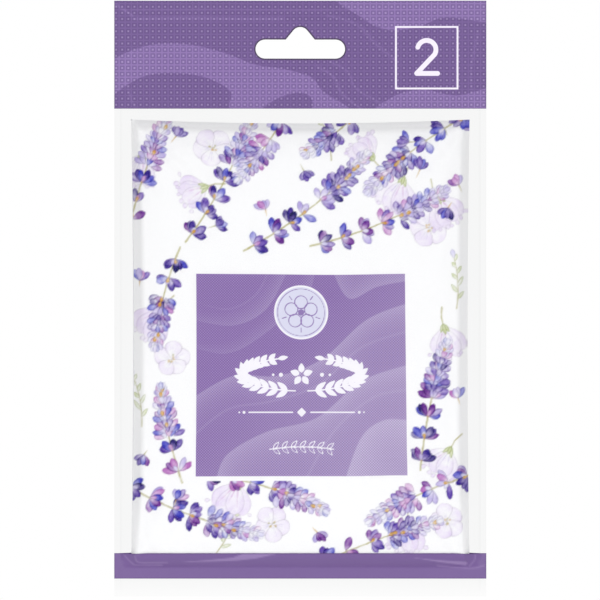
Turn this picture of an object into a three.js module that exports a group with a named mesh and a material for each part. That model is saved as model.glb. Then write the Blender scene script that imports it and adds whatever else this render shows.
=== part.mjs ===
// A hang-sell pack of two scented drawer sachets.
//
// Two films are welded together along both sides, under the header and across the bottom. They form a sealed
// pouch below a flat header with a punched hang slot, and leave a short free tail under the bottom seal.
// Two paper sachets lie back to back in the pouch. Each one is a domed front sheet and a flat back sheet,
// sealed together along a narrow rim round a bed of scented granules.
//
// Millimetres, +Z up, +X to the right of a viewer who faces the front, and the front faces -Y.
// The origin is the crown of the hang slot, midway between the two films, where a display peg bears.

import * as THREE from "three";

// Film bag
const FILM_THICKNESS = 0.1;
const SIDE_SEAL_WIDTH = 2;
const HEADER_SEAL_WIDTH = 0.8;
const BOTTOM_SEAL_WIDTH = 4;
const HEADER_HEIGHT = 38.6;
const TAIL_HEIGHT = 6.2;
const FOLD_GAP = 0.4; // left open at each fold line, so that the films on both sides can fold flat past it

// Hang slot
const SLOT_WIDTH = 32;
const SLOT_BAR_HEIGHT = 6.8;
const SLOT_DOME_RISE = 4.5;
const SLOT_DOME_BASE = 10.4;
const SLOT_CROWN_RADIUS = 3.2;
const SLOT_TO_TOP_EDGE = 9.4; // from the crown of the slot up to the top edge of the header

// Sachets
const SACHET_WIDTH = 121; // over the corners
const SACHET_HEIGHT = 159;
const SACHET_CROWN = 7.2; // how far the front sheet domes out of the rim
const SHOULDER_LENGTH = 16; // from the rim to where the dome levels off
const LOWER_SHOULDER_LENGTH = 32; // the same at the lower end, which lies flatter
const SIDE_DRAW_IN = 0.8; // how far the long sides bow in between the corners
const END_DRAW_IN = 2;
const RIM_WIDTH = 2;
const SHEET_THICKNESS = 0.25;

// Granule fill
const FILL_INSET = 7; // from the sachet's edge
const FILL_CLEARANCE = 0.3;

// Room in the pouch
const SACHET_TRAVEL = 2; // how far a sachet can slide up before it meets the header seal
const SEAL_CLEARANCE = 0.9; // nearest that a sachet's edge comes to the header seal and the bottom seal
const SIDE_ROOM = 4; // from a sachet's corner to the side seal
const FILM_CLEARANCE = 0.35; // from the front sheet to the film
const SACHET_GAP = 0.5; // between the back sheets of the two sachets

// Facets
const WIDTH_STEPS = 5; // from the edge of the fill to the middle
const HEIGHT_STEPS = 6;
const ARC_SEGMENTS = 8;

// Heights of the fold lines and edges, worked out from the slot downwards
const headerTop = SLOT_TO_TOP_EDGE;
const headerFold = headerTop - HEADER_HEIGHT;
const pouchTop = headerFold - FOLD_GAP / 2;
const roomTop = pouchTop - HEADER_SEAL_WIDTH;
const sachetTop = roomTop - SEAL_CLEARANCE - SACHET_TRAVEL;
const sachetBottom = sachetTop - SACHET_HEIGHT;
const roomBottom = sachetBottom - SEAL_CLEARANCE;
const pouchBottom = roomBottom - BOTTOM_SEAL_WIDTH;
const tailFold = pouchBottom - FOLD_GAP / 2;
const tailTop = tailFold - FOLD_GAP / 2;
const tailBottom = tailTop - TAIL_HEIGHT;

// Widths and depths
const sachetHalfWidth = SACHET_WIDTH / 2;
const sachetHalfHeight = SACHET_HEIGHT / 2;
const roomHalfWidth = sachetHalfWidth + SIDE_ROOM;
const roomHalfHeight = (roomTop - roomBottom) / 2;
const bagHalfWidth = roomHalfWidth + SIDE_SEAL_WIDTH;
const sachetMiddle = (sachetTop + sachetBottom) / 2;
const roomMiddle = (roomTop + roomBottom) / 2;
// How far a sachet's rim plane and the film over its rim lie from the middle of the pack
const rimDepth = SHEET_THICKNESS + SACHET_GAP / 2;
const rimRoom = rimDepth + SHEET_THICKNESS + FILM_CLEARANCE;

// Materials
const purplePrint = new THREE.MeshStandardMaterial({ color: 0x80679f, roughness: 0.3, metalness: 0 });
const clearFilm = new THREE.MeshStandardMaterial({
  color: 0xf6f7f7,
  roughness: 0.12,
  metalness: 0,
  transparent: true,
  opacity: 0.2,
});
const whitePaper = new THREE.MeshStandardMaterial({ color: 0xfafafc, roughness: 0.8, metalness: 0 });
const granules = new THREE.MeshStandardMaterial({ color: 0xb59a6a, roughness: 0.95, metalness: 0 });

// The share of the full dome that is reached at a distance from the edge where the dome starts.
function shoulder(distance, length) {
  const reached = THREE.MathUtils.clamp(distance / length, 0, 1);
  return (1 - (1 - reached) ** 2.2) ** 0.8;
}

// Grid lines from -1 to 1: one on each of the given margins, then steps that widen towards the middle.
// Margins are distances from the edge, outermost first, and the last one is where the steps start.
function gridLines(halfSize, margins, steps) {
  const start = margins[margins.length - 1];
  const distances = margins.slice(0, -1);
  for (let k = 0; k <= steps; k++) {
    distances.push(start + (halfSize - start) * (k / steps) ** 2);
  }
  const lower = distances.map((distance) => distance / halfSize - 1);
  const upper = lower.slice(0, -1).reverse();
  return [...lower, ...upper.map((line) => -line)];
}

// A closed sheet between two surfaces over the same grid. frontPoint and backPoint give a THREE.Vector3 for a
// pair of grid lines, and the front lies towards -Y.
function sheetGeometry(uLines, vLines, frontPoint, backPoint) {
  const columns = uLines.length;
  const rows = vLines.length;
  const positions = [];
  for (const point of [frontPoint, backPoint]) {
    for (const v of vLines) {
      for (const u of uLines) {
        positions.push(...point(u, v).toArray());
      }
    }
  }
  const front = (column, row) => row * columns + column;
  const back = (column, row) => columns * rows + front(column, row);
  const triangles = [];
  for (let row = 0; row < rows - 1; row++) {
    for (let column = 0; column < columns - 1; column++) {
      const corners = [
        [column, row],
        [column + 1, row],
        [column + 1, row + 1],
        [column, row + 1],
      ];
      const [a, b, c, d] = corners.map((corner) => front(...corner));
      const [e, f, g, h] = corners.map((corner) => back(...corner));
      triangles.push(a, b, c, a, c, d);
      triangles.push(e, g, f, e, h, g);
    }
  }
  const edge = [];
  for (let column = 0; column < columns - 1; column++) edge.push([column, 0]);
  for (let row = 0; row < rows - 1; row++) edge.push([columns - 1, row]);
  for (let column = columns - 1; column > 0; column--) edge.push([column, rows - 1]);
  for (let row = rows - 1; row > 0; row--) edge.push([0, row]);
  edge.forEach((here, k) => {
    const next = edge[(k + 1) % edge.length];
    triangles.push(front(...next), front(...here), back(...here));
    triangles.push(front(...next), back(...here), back(...next));
  });
  const geometry = new THREE.BufferGeometry();
  geometry.setAttribute("position", new THREE.Float32BufferAttribute(positions, 3));
  geometry.setIndex(triangles);
  geometry.computeVertexNormals();
  return geometry;
}

function named(name, geometry, material) {
  const mesh = new THREE.Mesh(geometry, material);
  mesh.name = name;
  return mesh;
}

// Hang slot: a bar with round ends, and a dome above its middle whose sides run straight into a round crown.
function slotOutline() {
  const barTop = -SLOT_DOME_RISE;
  const barMiddle = barTop - SLOT_BAR_HEIGHT / 2;
  const endRadius = SLOT_BAR_HEIGHT / 2;
  const endCentre = SLOT_WIDTH / 2 - endRadius;
  const baseHalf = SLOT_DOME_BASE / 2;
  const crownCentre = -SLOT_CROWN_RADIUS;
  const toBase = new THREE.Vector2(baseHalf, barTop - crownCentre);
  const crownAngle = toBase.angle() + Math.acos(SLOT_CROWN_RADIUS / toBase.length());
  const slot = new THREE.Path();
  slot.moveTo(-endCentre, barTop);
  slot.absarc(-endCentre, barMiddle, endRadius, Math.PI / 2, (3 * Math.PI) / 2, false);
  slot.absarc(endCentre, barMiddle, endRadius, -Math.PI / 2, Math.PI / 2, false);
  slot.lineTo(baseHalf, barTop);
  slot.absarc(0, crownCentre, SLOT_CROWN_RADIUS, crownAngle, Math.PI - crownAngle, false);
  slot.lineTo(-baseHalf, barTop);
  slot.closePath();
  return slot;
}

// One ply of the header. backFace is where its back lies, along Y.
function headerPly(name, backFace) {
  const bottom = headerFold + FOLD_GAP / 2;
  const outline = new THREE.Shape();
  outline.moveTo(-bagHalfWidth, bottom);
  outline.lineTo(bagHalfWidth, bottom);
  outline.lineTo(bagHalfWidth, headerTop);
  outline.lineTo(-bagHalfWidth, headerTop);
  outline.closePath();
  outline.holes.push(slotOutline());
  const geometry = new THREE.ExtrudeGeometry(outline, {
    depth: FILM_THICKNESS,
    bevelEnabled: false,
    curveSegments: ARC_SEGMENTS,
  });
  const mesh = named(name, geometry, purplePrint);
  mesh.rotation.x = Math.PI / 2;
  mesh.position.y = backFace;
  return mesh;
}

// How far the film's inner face stands off the middle of the pack: nothing in the seals, then a quick rise to
// clear the rims of the sachets, then a dome that starts over their outer edges.
function filmDepth(x, z) {
  const fromSide = roomHalfWidth - Math.abs(x);
  const fromEnd = roomHalfHeight - Math.abs(z - roomMiddle);
  const rise = THREE.MathUtils.clamp(Math.min(fromSide, fromEnd) / SEAL_CLEARANCE, 0, 1);
  const sideShare = shoulder(fromSide - SIDE_ROOM, SHOULDER_LENGTH);
  const endShare = shoulder(fromEnd - SEAL_CLEARANCE, z < roomMiddle ? LOWER_SHOULDER_LENGTH : SHOULDER_LENGTH);
  return rimRoom * rise + SACHET_CROWN * sideShare * endShare;
}

// One film of the pouch. side is -1 for the front and 1 for the back.
function pouchFilm(name, side) {
  const sideMargins = [0, SEAL_CLEARANCE, SIDE_ROOM, SIDE_ROOM + FILL_INSET / 2, SIDE_ROOM + FILL_INSET];
  const endMargins = [0, SEAL_CLEARANCE, SEAL_CLEARANCE + FILL_INSET / 2, SEAL_CLEARANCE + FILL_INSET];
  const columns = gridLines(roomHalfWidth, sideMargins, WIDTH_STEPS);
  const rows = gridLines(roomHalfHeight, endMargins, HEIGHT_STEPS);
  const xLines = [-bagHalfWidth, ...columns.map((u) => u * roomHalfWidth), bagHalfWidth];
  const zLines = [pouchBottom, ...rows.map((v) => roomMiddle + v * roomHalfHeight), pouchTop];
  const inner = (x, z) => new THREE.Vector3(x, side * filmDepth(x, z), z);
  const outer = (x, z) => new THREE.Vector3(x, side * (filmDepth(x, z) + FILM_THICKNESS), z);
  const geometry =
    side < 0 ? sheetGeometry(xLines, zLines, outer, inner) : sheetGeometry(xLines, zLines, inner, outer);
  return named(name, geometry, clearFilm);
}

// One film of the tail below the bottom seal. side is -1 for the front and 1 for the back.
function tailFilm(name, side) {
  const geometry = new THREE.BoxGeometry(2 * bagHalfWidth, FILM_THICKNESS, TAIL_HEIGHT);
  const mesh = named(name, geometry, clearFilm);
  mesh.position.set(0, (side * FILM_THICKNESS) / 2, (tailTop + tailBottom) / 2);
  return mesh;
}

// A point of a sachet, whose four sides bow in between the corners.
// u and v run from -1 to 1, and depth is how far the point lies in front of the rim plane.
function sachetPoint(u, v, depth) {
  const x = u * (sachetHalfWidth - SIDE_DRAW_IN * (1 - v * v));
  const z = v * (sachetHalfHeight - END_DRAW_IN * (1 - u * u));
  return new THREE.Vector3(x, -depth, z);
}

// How far the front sheet's inner face domes out of the rim plane.
function sachetDome(u, v) {
  const fromSide = (1 - Math.abs(u)) * sachetHalfWidth - RIM_WIDTH;
  const fromEnd = (1 - Math.abs(v)) * sachetHalfHeight - RIM_WIDTH;
  const endShare = shoulder(fromEnd, v < 0 ? LOWER_SHOULDER_LENGTH : SHOULDER_LENGTH);
  return SACHET_CROWN * shoulder(fromSide, SHOULDER_LENGTH) * endShare;
}

// The sheets and the fill share their grid lines, so that they lie the same distance apart all over.
const sachetMargins = [0, RIM_WIDTH, (RIM_WIDTH + FILL_INSET) / 2, FILL_INSET];
const sachetColumns = gridLines(sachetHalfWidth, sachetMargins, WIDTH_STEPS);
const sachetRows = gridLines(sachetHalfHeight, sachetMargins, HEIGHT_STEPS);
const fillColumns = sachetColumns.slice(sachetMargins.length - 1, 1 - sachetMargins.length);
const fillRows = sachetRows.slice(sachetMargins.length - 1, 1 - sachetMargins.length);

function frontSheet(name) {
  const outer = (u, v) => sachetPoint(u, v, sachetDome(u, v) + SHEET_THICKNESS);
  const inner = (u, v) => sachetPoint(u, v, sachetDome(u, v));
  return named(name, sheetGeometry(sachetColumns, sachetRows, outer, inner), whitePaper);
}

function backSheet(name) {
  const outline = [];
  for (const u of sachetColumns.slice(1)) outline.push(sachetPoint(u, -1, 0));
  for (const v of sachetRows.slice(1)) outline.push(sachetPoint(1, v, 0));
  for (const u of sachetColumns.slice(1)) outline.push(sachetPoint(-u, 1, 0));
  for (const v of sachetRows.slice(1)) outline.push(sachetPoint(-1, -v, 0));
  const shape = new THREE.Shape(outline.map((point) => new THREE.Vector2(point.x, point.z)));
  const geometry = new THREE.ExtrudeGeometry(shape, { depth: SHEET_THICKNESS, bevelEnabled: false });
  const mesh = named(name, geometry, whitePaper);
  mesh.rotation.x = Math.PI / 2;
  mesh.position.y = SHEET_THICKNESS;
  return mesh;
}

// The bed of granules, clear of both sheets.
function granuleFill(name) {
  const front = (u, v) => sachetPoint(u, v, sachetDome(u, v) - FILL_CLEARANCE);
  const back = (u, v) => sachetPoint(u, v, FILL_CLEARANCE);
  return named(name, sheetGeometry(fillColumns, fillRows, front, back), granules);
}

// A whole sachet. Its group stands in the sachet's own rim plane, with the front sheet towards -Y.
function sachet(prefix) {
  const group = new THREE.Group();
  group.add(frontSheet(`${prefix}_front_sheet`));
  group.add(granuleFill(`${prefix}_granule_fill`));
  group.add(backSheet(`${prefix}_back_sheet`));
  group.position.z = sachetMiddle;
  return group;
}

const header = new THREE.Group();
header.add(headerPly("header_front_film", 0));
header.add(headerPly("header_back_film", FILM_THICKNESS));

const frontSachet = sachet("front_sachet");
frontSachet.position.y = -rimDepth;

const rearSachet = sachet("rear_sachet");
rearSachet.position.y = rimDepth;
rearSachet.rotation.z = Math.PI;

const pouch = new THREE.Group();
pouch.add(pouchFilm("pouch_front_film", -1));
pouch.add(pouchFilm("pouch_back_film", 1));
pouch.add(frontSachet);
pouch.add(rearSachet);

const tail = new THREE.Group();
tail.add(tailFilm("tail_front_film", -1));
tail.add(tailFilm("tail_back_film", 1));

const pack = new THREE.Group();
pack.add(header);
pack.add(pouch);
pack.add(tail);

export default pack;
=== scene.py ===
"""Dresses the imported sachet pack: a printed film bag with two puffed paper sachets in it.

Lengths are millimetres in the frame of the solids until a mesh is made, which is in metres.
"""

import math

import bpy
import numpy as np
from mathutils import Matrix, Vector
from mathutils.geometry import delaunay_2d_cdt


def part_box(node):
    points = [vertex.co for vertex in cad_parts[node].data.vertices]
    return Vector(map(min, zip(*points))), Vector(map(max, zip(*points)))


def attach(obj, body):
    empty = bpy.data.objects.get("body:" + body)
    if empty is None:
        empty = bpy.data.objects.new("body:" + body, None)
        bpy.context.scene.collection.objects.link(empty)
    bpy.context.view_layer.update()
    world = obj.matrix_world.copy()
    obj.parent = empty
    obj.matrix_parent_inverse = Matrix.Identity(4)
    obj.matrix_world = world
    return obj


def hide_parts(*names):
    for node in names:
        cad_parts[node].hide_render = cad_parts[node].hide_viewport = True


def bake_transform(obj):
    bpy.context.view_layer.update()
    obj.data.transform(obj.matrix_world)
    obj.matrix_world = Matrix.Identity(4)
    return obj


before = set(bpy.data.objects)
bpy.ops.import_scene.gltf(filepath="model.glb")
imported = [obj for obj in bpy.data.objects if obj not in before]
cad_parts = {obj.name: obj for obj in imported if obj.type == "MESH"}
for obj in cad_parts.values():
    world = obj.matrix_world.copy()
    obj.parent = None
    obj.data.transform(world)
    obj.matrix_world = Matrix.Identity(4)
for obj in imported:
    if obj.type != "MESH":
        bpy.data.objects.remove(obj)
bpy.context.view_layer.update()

MM = 0.001


def node_box(name):
    """A node's lowest and highest corners, in millimetres."""
    return [np.array(corner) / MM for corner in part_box(name)]


# Places that come from the solids
header_low, header_high = node_box("header_front_film")
pouch_low, pouch_high = node_box("pouch_front_film")
tail_low, tail_high = node_box("tail_front_film")
sheet_low, sheet_high = node_box("front_sachet_front_sheet")
BAG_HALF = header_high[0]
HEADER_TOP = header_high[2]
HEADER_FOLD = (header_low[2] + pouch_high[2]) / 2
TAIL_FOLD = (pouch_low[2] + tail_high[2]) / 2
TAIL_END = tail_low[2]
SHEET_HALF = (sheet_high - sheet_low)[[0, 2]] / 2
SHEET_MIDDLE = (sheet_high[2] + sheet_low[2]) / 2
RIM_PLANE = -sheet_high[1]
CROWN = sheet_high[1] - sheet_low[1]

# Puffed sheet of a sachet
SHOULDER = 20.0  # how far from the rim its dome reaches the full height
LOWER_SHOULDER = 30.0
RIM_WIDTH = 2.0
EDGE_SHARE = 0.82  # how much of the height the round along the edge reaches
UPPER_SHARE_LOSS = 0.27  # how much less that is at the ends
LOWER_SHARE_LOSS = 0.36
SIDE_ROUND = 5.6  # width of the round
UPPER_ROUND = 4.8
LOWER_ROUND = 3.7
SIDE_BOW = 0.9  # how far the edges draw in at their middles
UPPER_BOW = 1.4
LOWER_BOW = 0.4
EDGE_SHIFT = 0.2
FRONT_STEP = 0.36
REAR_STEP = 0.45
BACK_HALF = (57.0, 75.0)  # of the points inside the rim of the back sheet
BACK_STEP = 3.0
BACK_LIFT = 0.2
CLOTH_STEP = 2.4
CLOTH_SCALE = 10
CLOTH_FRAMES = 20
CLOTH_SEED = 5
SWELL_ROUNDS = 9  # of smoothing, which leave the broad movement
CLOTH_LIMIT = np.array([0.15, 0.25, 0.15])  # how far a crease may stand out of the paper's form

# Film bag
SACHET_TRAVEL = 2.0
SIDE_SEAL = 2.0
ROOM_TOP = HEADER_FOLD - 1.0
ROOM_BOTTOM = TAIL_FOLD + 4.2
BAND_TOP = -187.82
BAND_DIP = 0.28  # how much lower the band's top lies beside the sachet
BAND_DIP_REACH = 3.0
FILM_OFFSET = 0.05  # of each film's surface from the face where the two films meet
FILM_CLEARANCE = 0.15
FOLD_LEAD = 1.0  # the films close up to the tail's fold over this length, so that the tail can swing
FOLD_ROOM = 0.02
MEMBRANE_STEP = 0.5
MEMBRANE_ROUNDS = 500
FILM_STEP = 1.2
SEAL_STEP = 0.5
FOLD_STEP = 0.25
BAND_STEP = 0.45
HEADER_STEP = 0.55
MARK_STEP = 0.3

# Hang slot, as in the solids
SLOT_WIDTH = 32.0
SLOT_BAR_HEIGHT = 6.8
SLOT_DOME_RISE = 4.5
SLOT_DOME_BASE = 10.4
SLOT_CROWN_RADIUS = 3.2

# Print on the sachet, from the middle of the sheet
PANEL_MIDDLE = np.array([0.5, -11.6])
PANEL_HALF = np.array([37.75, 36.2])
PANEL_MARGIN = 1.6
MEDAL_MIDDLE = np.array([0.6, 10.9])
MEDAL_RADIUS = 9.8

# Pattern and count mark on the header
DOT_PITCH = 2.19
MARK_MIDDLE = np.array([45.2, -11.0])
MARK_HALF = 11.0
MARK_LINE = 0.65
FAR = 9.0  # the distance given where no line is near


# Shapes in the plane


def smoothstep(low, high, value):
    t = np.clip((value - low) / (high - low), 0, 1)
    return t * t * (3 - 2 * t)


def way_at(angle):
    return np.array([math.cos(angle), math.sin(angle)])


def across_at(angle):
    return np.array([-math.sin(angle), math.cos(angle)])


def heading_at(points, k):
    """The angle at which a line leaves one of its points."""
    x, z = points[k + 1] - points[k]
    return math.atan2(z, x)


def distance_from(places, middle):
    return np.hypot(*(places - middle).T)


def line_distance(places, points, closed=False):
    """Distance of each place from a line through points."""
    points = np.asarray(points, float)
    ends = np.roll(points, -1, 0) if closed else points[1:]
    nearest = np.full(len(places), 1e9)
    for a, b in zip(points, ends):
        along = b - a
        t = np.clip((places - a) @ along / max(along @ along, 1e-12), 0, 1)
        nearest = np.minimum(nearest, np.hypot(*(places - a - t[:, None] * along).T))
    return nearest


def shape_distance(places, points):
    """As line_distance for a closed outline, and negative inside it."""
    points = np.asarray(points, float)
    inside = np.zeros(len(places), bool)
    x, z = places.T
    for (ax, az), (bx, bz) in zip(points, np.roll(points, -1, 0)):
        crosses = (az > z) != (bz > z)
        if az != bz:
            inside ^= crosses & (x < ax + (z - az) * (bx - ax) / (bz - az))
    return np.where(inside, -1, 1) * line_distance(places, points, closed=True)


def arc(middle, radius, start, end, count):
    """Points on a circle from one angle to another, in degrees."""
    angles = np.radians(np.linspace(start, end, count))
    return np.array(middle) + radius * np.stack([np.cos(angles), np.sin(angles)], 1)


def leaf_outline(base, angle, length, width):
    """A pointed leaf from its base, as an outline."""
    t = np.linspace(0, 1, 9)
    half = width / 2 * np.sin(np.pi * t**0.85)
    along = np.outer(t * length, way_at(angle))
    across = np.outer(half, across_at(angle))
    return np.vstack([base + along + across, (base + along - across)[-2:0:-1]])


def slot_outline():
    """The hang slot, counter-clockwise."""
    bar_middle = -SLOT_DOME_RISE - SLOT_BAR_HEIGHT / 2
    radius = SLOT_BAR_HEIGHT / 2
    end = SLOT_WIDTH / 2 - radius
    base = SLOT_DOME_BASE / 2
    drop = SLOT_CROWN_RADIUS - SLOT_DOME_RISE
    crown = math.degrees(math.atan2(drop, base) + math.acos(SLOT_CROWN_RADIUS / math.hypot(base, drop)))
    return np.vstack(
        [
            arc((-end, bar_middle), radius, 90, 270, 17),
            arc((end, bar_middle), radius, -90, 90, 17),
            [(base, -SLOT_DOME_RISE)],
            arc((0, -SLOT_CROWN_RADIUS), SLOT_CROWN_RADIUS, crown, 180 - crown, 13),
            [(-base, -SLOT_DOME_RISE)],
        ]
    )


def slot_distance(places):
    return np.abs(shape_distance(places, slot_outline()))


# Values on grids


def between(grid, along, down):
    """Values of a grid between its points."""
    i, j = along.astype(int), down.astype(int)
    u, v = along - i, down - j
    low = grid[j, i] * (1 - u) + grid[j, i + 1] * u
    high = grid[j + 1, i] * (1 - u) + grid[j + 1, i + 1] * u
    return low * (1 - v) + high * v


def neighbour_mean(grid):
    """The mean of the four neighbours of each inner point."""
    return (grid[:-2, 1:-1] + grid[2:, 1:-1] + grid[1:-1, :-2] + grid[1:-1, 2:]) / 4


# The flower print, painted petal by petal into an array of colours

DOTS_PER_MM = 8
PAINT_SEED = 7
STEM_STEPS = 40
INK_STRENGTH = 0.74
INK_CONTRAST = 0.62  # how much stronger the deepest tones get
INK_SATURATION = 1.14
PAPER = np.array([0.985, 0.985, 0.988])
LILAC = (0.66, 0.60, 0.84)
VIOLET = (0.38, 0.27, 0.64)
BLUE_VIOLET = (0.30, 0.30, 0.72)
MAUVE = (0.70, 0.43, 0.72)
PLUM = (0.43, 0.20, 0.56)
DEEP_VIOLET = (0.26, 0.17, 0.55)
INDIGO = (0.16, 0.10, 0.42)
PALE_LILAC = (0.79, 0.77, 0.92)
BLUSH = (0.88, 0.82, 0.94)
OLIVE = (0.70, 0.67, 0.42)
SAGE = (0.68, 0.73, 0.44)
OCHRE = (0.84, 0.65, 0.32)
DEEP = [VIOLET, BLUE_VIOLET, INDIGO, PLUM, DEEP_VIOLET, BLUE_VIOLET, VIOLET, DEEP_VIOLET]
MIDDLE = [LILAC, VIOLET, BLUE_VIOLET, MAUVE, LILAC, PLUM]
LIGHT = [LILAC, PALE_LILAC, LILAC, MAUVE, PALE_LILAC]

# Where each motif starts, the way it points in degrees, its length, its bend and its depth of colour
LAVENDER = [
    (-41, 36, 58, 50, 0.3, 0.75), (-62, 40, 72, 42, -0.2, 0.35), (-20, 33, 34, 56, 0.35, 0.9),
    (4, 35, 18, 52, 0.3, 0.55), (63, 82, 212, 46, 0.35, 0.8), (-4, 84, 238, 30, -0.3, 0.4),
    (22, 84, 222, 24, -0.3, 0.7), (-43, 34, 252, 36, 0.3, 0.85), (-42, -50, 106, 34, -0.25, 0.45),
    (43, -46, 80, 46, -0.25, 0.8), (-64, -50, -24, 52, 0.3, 0.8), (-36, -47, -12, 46, -0.4, 0.4),
    (-2, -84, 24, 54, -0.25, 0.9), (64, -47, 200, 42, 0.3, 0.5),
]
BLOSSOMS = [
    (-31, 70, 7.5), (47, 41, 7.5), (-46, -6, 6.5), (-10, -65, 6.5), (52, -64, 6.5),
]
BELLS = [
    (-56, 67, 250, 12), (-33, 56, 200, 11), (38, 59, 250, 13), (27, 66, 130, 10),
    (50, 52, 300, 12), (-50, 12, 235, 13), (52, 6, 285, 12), (54, -38, 240, 12),
    (-22, -50, 250, 13), (38, -64, 265, 12),
]
LEAVES = [
    (12, 66, 100, 16), (57, 12, 88, 18), (-57, -30, 96, 18), (-30, -76, 60, 16),
]
BUDS = [
    (-12, 48, 120), (-30, 42, 20), (2, 62, 300), (58, 56, 120), (54, 48, 250),
    (40, 72, 160), (-44, 74, 60), (-58, 22, 80), (57, -20, 100), (-56, -40, 250),
    (-44, -56, 60), (6, -68, 300), (44, 62, 80),
]


class Watercolour:
    """A sheet of paper that is painted in washes, in millimetres from its middle."""

    def __init__(self, half, seed):
        self.half = half
        self.random = np.random.default_rng(seed)
        self.x = np.linspace(-half[0], half[0], round(2 * half[0] * DOTS_PER_MM) + 1)
        self.z = np.linspace(-half[1], half[1], round(2 * half[1] * DOTS_PER_MM) + 1)
        self.colour = np.tile(PAPER, (len(self.z), len(self.x), 1))
        self.grain = 0.6 * self.cloud(1.8) + 0.4 * self.cloud(0.6)

    def cloud(self, cell):
        """Smooth noise from 0 to 1 with features of about this many millimetres."""
        knots = self.random.random((int(2 * self.half[1] / cell) + 3, int(2 * self.half[0] / cell) + 3))
        down, along = (self.z + self.half[1]) / cell, (self.x + self.half[0]) / cell
        down, along = (np.floor(t) + smoothstep(0, 1, t % 1) for t in (down, along))
        return between(knots, along[None, :], down[:, None])

    def window(self, low, high):
        """The slices of the sheet that cover a box, and the places of its dots."""
        rows = slice(*np.searchsorted(self.z, (low[1], high[1])))
        columns = slice(*np.searchsorted(self.x, (low[0], high[0])))
        return rows, columns, self.x[None, columns], self.z[rows, None]

    def lay(self, rows, columns, inside, tint, wash, rim, cover=0.92):
        """Lays a wash over what is there. inside is each dot's depth in the shape, in millimetres."""
        mask = np.clip(inside / 0.14 + 0.5, 0, 1)[..., None] * cover
        strength = np.clip(wash + 0.6 * (self.grain[rows, columns] - 0.5), 0.03, 1)[..., None]
        pool = rim * np.exp(-((np.maximum(inside, 0) / 0.2) ** 2))[..., None]
        tint = np.array(tint)
        colour = PAPER * (1 - strength) + tint * strength
        colour = colour * (1 - pool) + tint * 0.58 * pool
        self.colour[rows, columns] = self.colour[rows, columns] * (1 - mask) + colour * mask

    def petal(
        self, base, angle, length, width, tint, wash=0.6, rim=0.5, tip=0.3, fullness=1.35, cover=0.92
    ):
        """A drop shape from its base. tip is how much stronger the wash gets towards the far end."""
        x0, z0 = base
        reach = length + width
        rows, columns, x, z = self.window((x0 - reach, z0 - reach), (x0 + reach, z0 + reach))
        c, s = math.cos(angle), math.sin(angle)
        along = ((x - x0) * c + (z - z0) * s) / length
        across = np.abs(-(x - x0) * s + (z - z0) * c)
        t = np.clip(along, 0, 1)
        half = width / 2 * np.sin(np.pi * t**fullness) ** 0.62
        inside = np.minimum(half - across, length * np.minimum(along, 1 - along) + 0.2)
        hollow = 0.3 * np.minimum(across / (0.5 * width), 1) ** 2 - 0.1
        self.lay(rows, columns, inside, tint, wash + tip * (t - 0.5) + hollow, rim, cover)

    def stroke(self, points, width, tint, wash=0.7, rim=0.3, taper=0.5):
        """A brush line through points, which thins out towards its end."""
        points = np.asarray(points, float)
        rows, columns, x, z = self.window(points.min(0) - width, points.max(0) + width)
        inside = np.full((len(z), x.shape[1]), -FAR)
        steps = len(points) - 1
        for k in range(steps):
            (ax, az), (bx, bz) = points[k], points[k + 1]
            size = (bx - ax) ** 2 + (bz - az) ** 2
            t = np.clip(((x - ax) * (bx - ax) + (z - az) * (bz - az)) / size, 0, 1)
            gap = np.hypot(x - ax - t * (bx - ax), z - az - t * (bz - az))
            inside = np.maximum(inside, width / 2 * (1 - taper * (k + t) / steps) - gap)
        self.lay(rows, columns, inside, tint, wash, rim)

    def pick(self, tints):
        return tints[self.random.integers(len(tints))]

    def spread(self, low, high):
        return low + (high - low) * self.random.random()

    def stem(self, base, angle, length, bend):
        """Points along a bent stem, with its heading at each of them."""
        t = np.linspace(0, 1, STEM_STEPS + 1)
        headings = angle + bend * (t - 0.3)
        steps = np.stack([np.cos(headings), np.sin(headings)], 1) * length / STEM_STEPS
        return np.array(base) + np.vstack([np.zeros(2), np.cumsum(steps[:-1], 0)]), headings

    def lavender(self, base, angle, length, bend, depth):
        """A lavender sprig: loose whorls on a thin stem, and a close head that pales to its tip."""
        points, headings = self.stem(base, angle, length, bend)
        self.stroke(points, 0.62, OLIVE, 0.62)
        per_mm = STEM_STEPS / length
        head = 17.0 if length > 32 else 13.0
        place = 4.5
        while place < length - head:
            k = int(place * per_mm)
            self.whorl(points[k], headings[k], depth)
            place += self.spread(6.8, 8.6)
        place = length - head
        while place < length:
            k = min(int(place * per_mm), STEM_STEPS)
            left = (length - place) / head
            self.tier(points[k], headings[k], left, depth)
            place += 2.1
        for turn in (-0.45, 0.5, 0.0):
            tint = self.pick([LILAC, PALE_LILAC, BLUE_VIOLET])
            self.petal(points[-1], headings[-1] + turn, 3.0, 1.7, tint, self.spread(0.2, 0.5))

    def thorn(self, at, heading, length):
        """A thin pointed bract."""
        self.stroke([at, at + length * way_at(heading)], 0.5, self.pick([OLIVE, OCHRE]), 0.6, 0.3, 0.9)

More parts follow.
